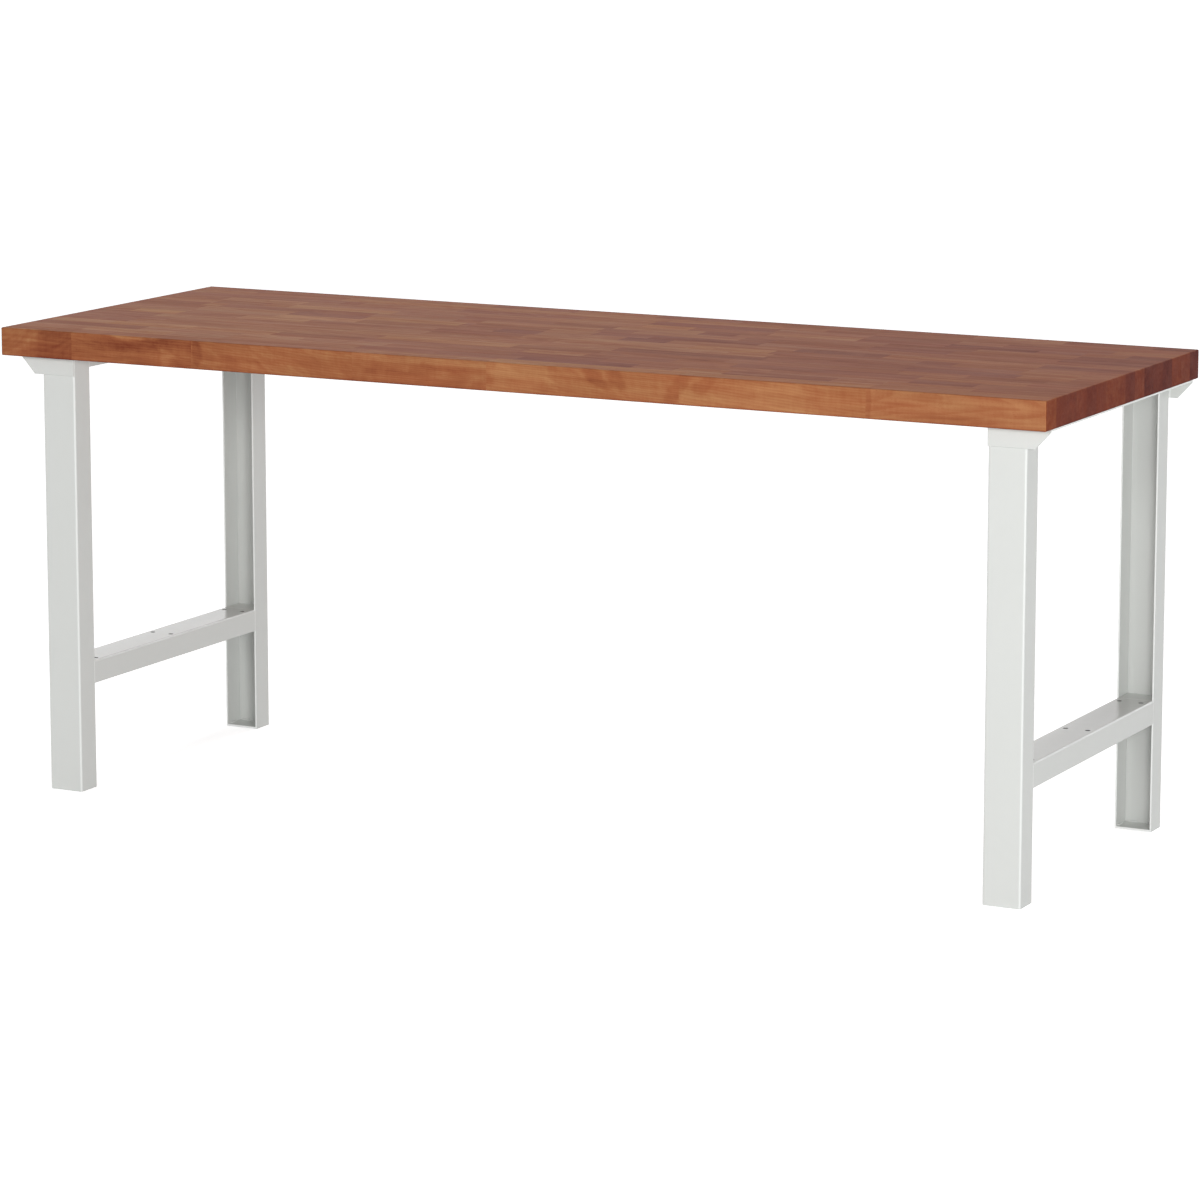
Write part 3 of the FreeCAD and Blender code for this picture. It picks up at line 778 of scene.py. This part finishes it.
def make_welds(side, end, material):
    """The beads inside one leg: under the head plate, under the rail and on the foot plate."""
    leg_low, leg_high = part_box("%s_%s_leg" % (side, end))
    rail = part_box(side + "_cross_rail")
    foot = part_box("%s_%s_foot_plate" % (side, end))
    outwards = 1 if end == "rear" else -1
    web = outwards * (max(abs(leg_low.y), abs(leg_high.y)) - SHEET)
    edge = outwards * min(abs(leg_low.y), abs(leg_high.y))
    middle = (leg_low.x + leg_high.x) / 2
    inside = leg_high.x - middle - SHEET
    chance = random.Random("%s %s welds" % (side, end))
    work = bmesh.new()

    def bead(x_run, y_run, z_run, radius):
        add_bead(work, (middle + x_run[0], y_run[0], z_run[0]),
                 (middle + x_run[1], y_run[1], z_run[1]), radius, chance)

    under_head = (leg_high.z - UNDER_HEAD,) * 2
    under_tongue = (rail[1].z - SHEET - SUNK,) * 2
    on_foot = (foot[1].z + ABOVE_FOOT,) * 2
    at_web = (web - outwards * SUNK,) * 2
    for web_run in WEB_RUNS:
        bead(web_run, at_web, under_head, HEAD_BEAD)
        bead(web_run, at_web, on_foot, FOOT_BEAD)
    bead(TONGUE_RUN, at_web, under_tongue, TONGUE_BEAD)
    along_side = tuple(edge + outwards * off for off in SIDE_RUN)
    beside_rail = (rail[0].z + RAIL_INSETS[0], rail[1].z - RAIL_INSETS[1])
    for across in (-inside + SUNK, inside - SUNK):
        bead((across, across), along_side, under_head, HEAD_BEAD)
        bead((across, across), along_side, on_foot, FOOT_BEAD)
        bead((across, across), (edge, edge), beside_rail, RAIL_BEAD)

    mesh = bpy.data.meshes.new("welds")
    work.to_mesh(mesh)
    work.free()
    for face in mesh.polygons:
        face.use_smooth = True
    welds = bpy.data.objects.new("%s_%s_welds" % (side, end), mesh)
    bpy.context.scene.collection.objects.link(welds)
    dress(welds, material)
    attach(welds, "root")


# The stage: white floor, even light, and the camera where the photograph was taken

FLOOR_REACH = 60.0
FLOOR_WHITE = 0.86

# What the floor's own glow adds where it is seen, and the world's light where it isn't
FLOOR_GLOW = 0.66
AMBIENT = 0.23

# The camera: place, degrees turned down and to the left, focal length in millimetres, and the
# shift as a share of the picture
CAMERA_PLACE = (3.662173, -7.0139127, 1.8704454)
CAMERA_DOWN = 9.2036
CAMERA_LEFT = 27.4293
FOCAL_LENGTH = 136.6646
CAMERA_SHIFT = -0.1

# Suns: name, azimuth and elevation of the lamp and its width, in degrees, how light it makes a
# surface that faces it, and whether the steel mirrors it
SUNS = [
    ("front_light", 0, 16, 14, 0.242, False),
    ("low_right_light", 50, 6, 20, 0.25, False),
    ("rear_light", 183, 28, 14, 0.25, False),
    ("left_rear_light", 245, 22, 14, 0.1, False),
    ("far_left_light", 224, 14, 44, 0.065, True),
    ("right_rail_glint", 166, 20, 8, 0.04, True),
    ("left_rail_glint", 166, 32, 8, 0.06, True),
]


def seen_white(tree):
    """One for rays that show the background itself, and nought for rays that light things."""
    path = tree.add("LightPath").outputs
    camera_or_gloss = tree.math("MAXIMUM", path["Is Camera Ray"], path["Is Glossy Ray"])
    return tree.math("MAXIMUM", camera_or_gloss, path["Is Transmission Ray"])


def make_floor():
    mesh = bpy.data.meshes.new("floor")
    corners = ((-1, -1), (1, -1), (1, 1), (-1, 1))
    mesh.from_pydata(
        [(x * FLOOR_REACH, y * FLOOR_REACH, 0) for x, y in corners], [], [(0, 1, 2, 3)])
    floor = bpy.data.objects.new("floor", mesh)
    bpy.context.scene.collection.objects.link(floor)
    material = bpy.data.materials.new("white_floor")
    tree = Tree(material)
    matt = tree.add("BsdfDiffuse", {"Color": (FLOOR_WHITE, FLOOR_WHITE, FLOOR_WHITE, 1)})
    glow = tree.add("Emission", {
        "Color": (1, 1, 1, 1), "Strength": tree.math("MULTIPLY", seen_white(tree), FLOOR_GLOW)})
    tree.surface(tree.add("AddShader", {0: matt.outputs[0], 1: glow.outputs[0]}))
    dress(floor, material)


def make_world():
    world = bpy.data.worlds.new("studio")
    bpy.context.scene.world = world
    tree = Tree(world)
    strength = tree.math("MULTIPLY", seen_white(tree), 1 - AMBIENT)
    strength = tree.math("ADD", strength, AMBIENT)
    tree.surface(
        tree.add("Background", {"Color": (1, 1, 1, 1), "Strength": strength}), "OutputWorld")


def make_sun(name, azimuth, elevation, width, level, mirrored):
    """A wide soft lamp; level is the share of full brightness that it gives a surface facing it."""
    lamp = bpy.data.lights.new(name, "SUN")
    lamp.energy = level * math.pi
    lamp.angle = math.radians(width)
    sun = bpy.data.objects.new(name, lamp)
    sun.rotation_euler = (math.radians(90 - elevation), 0, math.radians(azimuth))
    sun.visible_glossy = mirrored
    bpy.context.scene.collection.objects.link(sun)


def make_softbox(name, place, target, size, level):
    """A square soft lamp that nothing mirrors; level is the share of full light at its target."""
    away = Vector(target) - Vector(place)
    lamp = bpy.data.lights.new(name, "AREA")
    lamp.size = size
    lamp.energy = level * (math.pi * away.length) ** 2
    box = bpy.data.objects.new(name, lamp)
    box.location = place
    box.rotation_euler = away.to_track_quat("-Z", "Y").to_euler()
    box.visible_glossy = False
    bpy.context.scene.collection.objects.link(box)


def make_camera():
    data = bpy.data.cameras.new("camera")
    data.sensor_width = 36.0
    data.lens = FOCAL_LENGTH
    data.shift_y = CAMERA_SHIFT
    data.clip_end = 200.0
    camera = bpy.data.objects.new("camera", data)
    camera.location = CAMERA_PLACE
    camera.rotation_euler = (math.radians(90 - CAMERA_DOWN), 0, math.radians(CAMERA_LEFT))
    bpy.context.scene.collection.objects.link(camera)
    bpy.context.scene.camera = camera


# The pieces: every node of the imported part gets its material

beech = make_beech()
powder_coat = make_powder_coat("light_grey_powder_coat")
zinc = make_zinc()
for number, name in enumerate(STAVE_NAMES, start=FRONT_STAVE):
    make_stave(number, name, beech)
for side in SIDES:
    for kind in ("head_plate", "front_leg", "rear_leg", "front_foot_plate", "rear_foot_plate"):
        dress(NODES["%s_%s" % (side, kind)], powder_coat)
    low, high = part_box(side + "_cross_rail")
    dress(NODES[side + "_cross_rail"],
          make_powder_coat(side + "_rail_powder_coat", (low.x + high.x) / 2))
    for kind in ("screws", "washers"):
        dress(NODES["%s_worktop_%s" % (side, kind)], zinc)
    for end in ENDS:
        make_welds(side, end, powder_coat)

make_floor()
make_world()
make_softbox("key_light", place=(3.8, -5.1, 1.5), target=(0.5, 0.0, 0.5), size=1.6, level=0.388)
for sun in SUNS:
    make_sun(*sun)
make_camera()

bpy.context.scene.view_settings.view_transform = "Standard"
